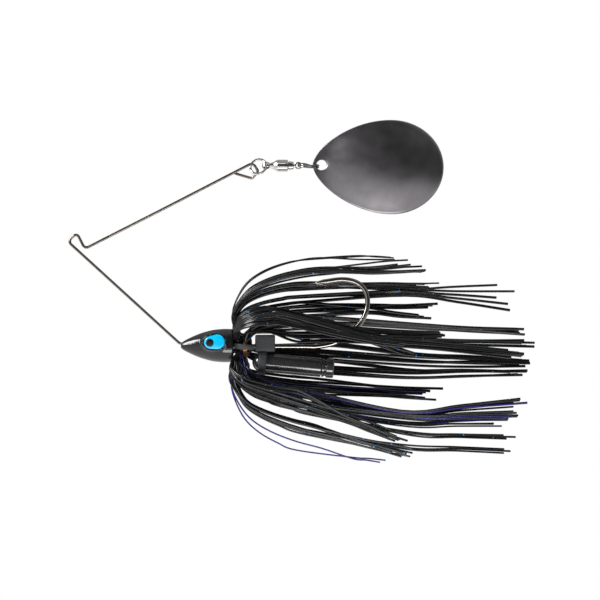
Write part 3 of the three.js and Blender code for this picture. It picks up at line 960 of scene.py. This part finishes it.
def make_binding():
    route = []
    for n in range(int(BINDING_TURNS * 48) + 1):
        angle = 2 * math.pi * n / 48
        along = BINDING_X + BINDING_WIDTH * n / 48 / BINDING_TURNS
        y, z = BINDING_RADIUS * math.cos(angle), BINDING_RADIUS * math.sin(angle)
        route.append(Vector((along, y, HEAD_Z + z)))
    size = even(BINDING_WIRE, BINDING_WIRE)
    mesh = sweep(route, circle_section(12), size, side=(1, 0, 0), ends=0.8)
    piece("binding_wire", *mesh, "copper", "lure", "skirt_binding")


def make_core():
    """The squeezed silicone under the binding."""
    core = turned(eased(CORE_PROFILE), closed=True)
    at_head = Matrix.Translation((0, 0, HEAD_Z))
    piece("skirt_bundle_core", *moved(core, at_head), "silicone", "lure", "skirt_core")


def make_tab():
    """The short strap beside the binding on the left, which the CAD doesn't have."""
    size = even(0.85, 0.3)
    strip = sweep(spline(TAB_ROUTE, 8), STRAND_SECTION, size, side=(0, 0, 1), ends=0.3)
    piece("skirt_tab", *strip, "holder", "lure")


# Rattle and its holder

RATTLE_PLACE = Matrix.Translation(RATTLE_FRONT) @ Matrix.Rotation(RATTLE_TILT, 4, "Y")
# Places along the capsule and radii
SHELL_REAR = [(21.4, 3), (21.52, 2.95), (21.6, 2.85), (21.6, 2.4), (3, 2.4)]
CAP_PROFILE = [
    (20.2, 0), (20.2, 2.25), (21.8, 2.25), (21.8, 2.85), (22.5, 2.85), (22.65, 2.5),
    (23.1, 2.5), (23.25, 3), (25.2, 3), (25.6, 2.6), (25.6, 0),
]
BAND_PROFILE = [(2, 3.15), (2, 4), (4.4, 4), (4.4, 3.15)]
SLEEVE_Z = -32.3
SLEEVE_BORE = 0.95
SLEEVE_SIDES = 48
# Places along the sleeve, and the share of its full size there
SLEEVE_ROWS = [
    (56.6, 0.86), (56.68, 0.93), (56.9, 0.985), (57.3, 1), (62.1, 1), (62.5, 0.985),
    (62.72, 0.93), (62.8, 0.86),
]


def rounded_box_section(half_width, half_height, corner, count=SLEEVE_SIDES):
    """Places round a box with soft corners."""
    power = 2 + 2 * half_width / corner
    section = []
    for x, y in circle_section(count):
        reach = (abs(x / half_width) ** power + abs(y / half_height) ** power) ** (-1 / power)
        section.append((x * reach, y * reach))
    return section


def sleeve_places():
    """Rings round the sleeve's outside, then back through its bore, which holds the shank."""
    points = []
    for x, size in SLEEVE_ROWS:
        for u, v in rounded_box_section(2.2, 2.7, 0.8):
            points.append(Vector((x, u * size, SLEEVE_Z + v * size)))
    for x in (SLEEVE_ROWS[-1][0], SLEEVE_ROWS[0][0]):
        for u, v in circle_section(SLEEVE_SIDES):
            points.append(Vector((x, u * SLEEVE_BORE, SHANK_Z + v * SLEEVE_BORE)))
    return points


def make_holder():
    points = sleeve_places()
    faces = tube_faces(len(points) // SLEEVE_SIDES, SLEEVE_SIDES, closed=True)
    band = turned(eased(BAND_PROFILE, 0.3, 5), 96, closed=True)
    piece("rattle_sleeve", points, faces, "holder", "lure", "rattle_holder")
    piece("rattle_band", *moved(band, RATTLE_PLACE), "holder", "lure")


def capsule_profile():
    """The capsule's outside from its domed front to its open rear, and back along its bore."""
    outer, inner = RATTLE_RADIUS, RATTLE_BORE
    dome = [math.pi * n / 40 for n in range(21)]
    hollow = [math.pi * n / 16 for n in range(1, 9)]
    profile = [(outer - outer * math.cos(angle), outer * math.sin(angle)) for angle in dome]
    profile += SHELL_REAR
    profile += [(outer - inner * math.sin(angle), inner * math.cos(angle)) for angle in hollow]
    profile[-1] = (profile[-1][0], 0)
    return profile


def make_rattle():
    tube = moved(turned(capsule_profile(), 96), RATTLE_PLACE)
    plug = moved(turned(eased(CAP_PROFILE, 0.16, 4), 96), RATTLE_PLACE)
    piece("rattle_tube", *tube, "capsule", "lure", "rattle_shell")
    piece("rattle_plug", *plug, "capsule", "lure", "rattle_cap")


def ball(centre, radius, rows=12, segments=24):
    angles = [math.pi * n / rows for n in range(rows + 1)]
    profile = [(-radius * math.cos(angle), radius * math.sin(angle)) for angle in angles]
    return moved(turned(profile, segments), Matrix.Translation(centre))


def middle(node):
    """The middle of a CAD node's box, in millimetres."""
    low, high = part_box(node)
    return (low + high) / 2 / MM


def make_balls():
    for n in range(1, 4):
        node = f"rattle_shot_{n}"
        piece(f"shot_{n}", *ball(middle(node), SHOT_RADIUS), "shot", "rattle_shot", node)
    for n in range(1, 7):
        node = f"bearing_ball_{n}"
        mesh = ball(middle(node), BEARING_RADIUS, 8, 16)
        piece(f"bearing_{n}", *mesh, "swivel", "bearing_balls", node)


# Spinner

AT_LUG = Matrix.Translation(LUG_CENTRE)
# Places behind the lug's centre and radii
BARREL_PROFILE = [
    (0.95, 0), (0.95, 0.7), (1.4, 0.85), (2.5, 1.25), (3.4, 1.8), (3.7, 1.85), (6.5, 1.85),
    (6.75, 1.7), (6.8, 1.6), (6.8, 1.15), (3.9, 1.15), (3.9, 0),
]
COLLAR_PROFILE = [
    (6.1, 0.55), (6.1, 1), (6.95, 1), (6.95, 1.4), (8.3, 1.25), (8.6, 1.05), (8.6, 0.55),
]
SHAFT_PROFILE = [(4.1, 0), (4.1, 0.9), (5, 0.9), (5.1, 0.42), (9.1, 0.42), (9.15, 0)]


def circle_route(centre, normal, radius, steps):
    """Places round a circle that faces along a normal."""
    first = normal.orthogonal().normalized()
    second = normal.cross(first)
    return [centre + (first * u + second * v) * radius for u, v in circle_section(steps)]


def make_ring():
    route = circle_route(RING_CENTRE, RING_NORMAL.normalized(), RING_RADIUS, 96)
    size = even(RING_WIRE, RING_WIRE)
    mesh = sweep(route, circle_section(24), size, closed=True, side=RING_NORMAL)
    piece("ring_welded", *mesh, "swivel", "welded_ring", "welded_ring")


def lug_axis():
    """The way through the lug's hole: along the welded ring, square to the swivel."""
    rearward = Vector((1, 0, 0))
    radial = (LUG_CENTRE - RING_CENTRE).normalized()
    along_ring = RING_NORMAL.normalized().cross(radial).normalized()
    return (along_ring - rearward * along_ring.dot(rearward)).normalized()


def make_swivel_body():
    barrel = moved(turned(eased(BARREL_PROFILE, 0.2, 5), 80), AT_LUG)
    piece("swivel_body_shell", *barrel, "swivel", "swivel_body", "swivel_barrel")
    axis = lug_axis()
    route = circle_route(LUG_CENTRE, axis, LUG_RADIUS, 64)
    size = even(LUG_HALF_WIDTH, LUG_HALF_DEPTH)
    lug = sweep(route, circle_section(20), size, closed=True, side=axis)
    piece("swivel_front_lug", *lug, "swivel", "swivel_body")
    collar = moved(turned(eased(COLLAR_PROFILE, 0.15, 4), 64, closed=True), AT_LUG)
    piece("swivel_rear_collar", *collar, "swivel", "swivel_body", "swivel_collar")


def make_spindle():
    stem = moved(turned(eased(SHAFT_PROFILE, 0.08, 3), 40), AT_LUG)
    across = Vector((0, 1, 0))
    eye_centre = LUG_CENTRE + Vector((REAR_EYE_X, 0, 0))
    route = circle_route(eye_centre, across, REAR_EYE_RADIUS, 56)
    size = even(REAR_EYE_WIRE, REAR_EYE_WIRE)
    eye = sweep(route, circle_section(18), size, closed=True, side=across)
    piece("swivel_spindle_eye", *joined(stem, eye), "swivel", "swivel_spindle", "swivel_shaft")


def make_split_ring():
    """Almost two turns of wire, which step from one to the other halfway."""
    turn = Matrix.Rotation(SPLIT_TILT, 4, "Y") @ Matrix.Rotation(SPLIT_ROLL, 4, "X")
    steps = 176
    route = []
    for n in range(steps + 1):
        turns = 0.07 + 1.86 * n / steps
        rise = max(-1, min(1, (turns - 1) / 0.06)) * SPLIT_RISE
        angle = 2 * math.pi * (turns + 0.25)
        flat = (SPLIT_RADIUS * math.cos(angle), SPLIT_RADIUS * math.sin(angle), rise)
        route.append(SPLIT_CENTRE + turn @ Vector(flat))
    size = even(SPLIT_WIRE, SPLIT_WIRE)
    mesh = sweep(route, circle_section(14), size, side=(0, 0, 1), ends=0.6)
    piece("ring_split", *mesh, "split", "split_ring", "split_ring")


def bezier(corners, t):
    """A place on the curve that four corners pull into shape."""
    weights = [(1 - t) ** 3, 3 * t * (1 - t) ** 2, 3 * t * t * (1 - t), t**3]
    return tuple(sum(w * corner[k] for w, corner in zip(weights, corners)) for k in (0, 1))


def blade_edge(count):
    """The blade's outline from its tip round the far end, as (along, across)."""
    corners = [(0, 0), (0, 5), (11.5, BLADE_HALF), (BLADE_BACK, BLADE_HALF)]
    steps = count // 4
    half = [bezier(corners, n / steps) for n in range(steps)]
    reach = BLADE_LENGTH - BLADE_BACK
    for n in range(steps + 1):
        angle = math.pi / 2 * (1 - n / steps)
        half.append((BLADE_BACK + reach * math.cos(angle), BLADE_HALF * math.sin(angle)))
    return half + [(x, -y) for x, y in reversed(half[1:-1])]


def dishing(along, across):
    """How far the sheet bulges: a shallow bowl that fades into the flat round the hole."""
    reach = BLADE_BACK - 3.5 if along < BLADE_BACK else BLADE_LENGTH - BLADE_BACK
    inside = 1 - ((along - BLADE_BACK) / reach) ** 2 - (across / BLADE_HALF) ** 2
    return BLADE_DEPTH * ((inside + math.hypot(inside, 0.35)) / 2 - 0.07)


def blade_row(edge, ring, rings, side):
    """One ring of places on a face of the sheet, side -1 for its domed face."""
    share = (ring / rings) ** 1.15
    thinning = 0.55 + 0.225 * min(ring, rings - ring, 2)
    half = BLADE_SHEET / 2 * thinning
    row = []
    for corner in edge:
        start = BLADE_HOLE + (corner - BLADE_HOLE).normalized() * BLADE_HOLE_RADIUS
        spot = start.lerp(corner, share)
        row.append(Vector((spot.x, -dishing(spot.x, spot.y) + side * half, spot.y)))
    return row


def make_blade():
    """A dished sheet in rings that run from the hole's rim out to the rounded edge."""
    edge = [Vector(corner) for corner in blade_edge(192)]
    count = len(edge)
    rings = 60
    rows = [blade_row(edge, ring, rings, -1) for ring in range(rings + 1)]
    rows += [blade_row(edge, ring, rings, 1) for ring in range(rings, -1, -1)]
    points = [point for row in rows for point in row]
    faces = [(b, a, d, c) for a, b, c, d in tube_faces(len(rows), count, closed=True)]
    hung = Matrix.Translation(BLADE_TIP) @ Matrix.Rotation(BLADE_TILT, 4, "Y")
    piece("blade_sheet", *moved((points, faces), hung), "blade", "blade", "blade")


# Studio

CAMERA_PLACE = (70.6, -625, -18.75)
FLOOR_Z = -330
FLOOR_REACH = 900
FLOOR_SHIFT = 140
# Metres from the floor's middle over which it brightens to hide its edge, and the two glows
GLOW_RANGE = (0.68, 0.88)
GLOWS = (0.45, 0.95)


def make_camera():
    """Square on to the lure's left side, as in the photo."""
    data = bpy.data.cameras.new("Camera")
    data.lens = 120
    data.sensor_width = 36
    data.clip_start = 0.01
    camera = placed("Camera", data)
    camera.location = millimetres(*CAMERA_PLACE)
    camera.rotation_euler = (math.pi / 2, 0, 0)
    bpy.context.scene.camera = camera


def make_light(name, where, size, watts, target):
    """A lamp panel that faces its target and isn't seen itself."""
    data = bpy.data.lights.new(name, "AREA")
    data.shape = "RECTANGLE"
    data.size, data.size_y = (edge * MM for edge in size)
    data.energy = watts
    light = placed(name, data)
    light.location = millimetres(*where)
    aim = millimetres(*target) - light.location
    light.rotation_euler = aim.to_track_quat("-Z", "Y").to_euler()
    light.visible_camera = False


# Greys of the room in front of the lure, from its floor (0) to its ceiling (1)
FRONT_HEIGHTS = [
    (0.0, 0.75), (0.26, 0.85), (0.37, 0.55), (0.4, 0.04), (0.49, 0.04), (0.52, 0.15),
    (0.6, 0.09), (0.75, 0.055), (0.9, 0.07), (1.0, 0.6),
]
SIDE_GREY = 0.65
BACK_GREY = 0.3


def ranged(tree, source, start, end, low, high):
    """A socket's value, taken from one range to another."""
    node = tree.nodes.new("ShaderNodeMapRange")
    sockets = ("From Min", "From Max", "To Min", "To Max")
    for socket, value in zip(sockets, (start, end, low, high)):
        node.inputs[socket].default_value = value
    tree.links.new(source, node.inputs["Value"])
    return node.outputs["Result"]


def room_greys(tree):
    """The greys the metal reflects: a dim front with a dark band, leaning up on the left."""
    place = tree.nodes.new("ShaderNodeTexCoord")
    split = tree.nodes.new("ShaderNodeSeparateXYZ")
    tree.links.new(place.outputs["Generated"], split.inputs["Vector"])
    x, y, z = (split.outputs[axis] for axis in "XYZ")
    leaning = tree.nodes.new("ShaderNodeMath")
    leaning.operation = "ADD"
    tree.links.new(ranged(tree, z, -1, 1, 0.08, 0.92), leaning.inputs[0])
    tree.links.new(ranged(tree, x, -1, 1, -0.36, 0.36), leaning.inputs[1])
    front = ramp(tree, leaning.outputs["Value"], FRONT_HEIGHTS)
    sides = blended(tree, ranged(tree, y, -0.3, 0.05, 0, 1), front, SIDE_GREY)
    return blended(tree, ranged(tree, y, 0.1, 0.8, 0, 1), sides, BACK_GREY)


def make_world():
    """White to the camera, and a room of greys to everything else."""
    world = bpy.data.worlds.new("World")
    bpy.context.scene.world = world
    world.use_nodes = True
    tree = world.node_tree
    seen = tree.nodes.new("ShaderNodeLightPath")
    shown = blended(tree, seen.outputs["Is Camera Ray"], room_greys(tree), 1.0)
    tree.links.new(shown, tree.nodes["Background"].inputs["Color"])


def floor_material():
    material = bpy.data.materials.new("Pale floor")
    tree, shader = nodes_of(material)
    drift = noise(tree, 4)
    tone = ramp(tree, drift, [(0.3, 0.93), (0.7, 0.96)])
    tree.links.new(tone, shader.inputs["Base Color"])
    shader.inputs["Roughness"].default_value = 0.9
    shader.inputs["Specular IOR Level"].default_value = 0.0
    shader.inputs["Emission Color"].default_value = (1, 1, 1, 1)
    place = tree.nodes.new("ShaderNodeTexCoord")
    distance = tree.nodes.new("ShaderNodeVectorMath")
    distance.operation = "LENGTH"
    tree.links.new(place.outputs["Object"], distance.inputs[0])
    glow = ranged(tree, distance.outputs["Value"], *GLOW_RANGE, *GLOWS)
    tree.links.new(glow, shader.inputs["Emission Strength"])
    return material


def make_floor():
    mesh = bpy.data.meshes.new("Floor")
    left, right = -FLOOR_REACH, FLOOR_REACH + FLOOR_SHIFT
    near, far = -FLOOR_REACH, FLOOR_REACH
    corners = [(left, near), (right, near), (right, far), (left, far)]
    mesh.from_pydata([millimetres(x, y, FLOOR_Z) for x, y in corners], [], [(0, 1, 2, 3)])
    mesh.materials.append(floor_material())
    placed("Floor", mesh)


make_camera()
bpy.context.scene.view_settings.view_transform = "Standard"
make_world()
make_floor()
make_light("Key", (-270, -120, 170), (140, 260), 2.4, target=(40, 0, -32))
make_light("Low strip", (80, -61, -79), (80, 24), 0.048, target=(78, 0, -41))
make_light("Swivel card", (60, -28, 50), (16, 16), 0.0009, target=(62, 0, 23))

make_wire()
make_head()
make_eyes()
make_hook()
make_binding()
make_core()
make_tab()
for seed, bundle in enumerate(BUNDLES):
    make_bundle(bundle, seed)
make_holder()
make_rattle()
make_balls()
make_ring()
make_swivel_body()
make_spindle()
make_split_ring()
make_blade()
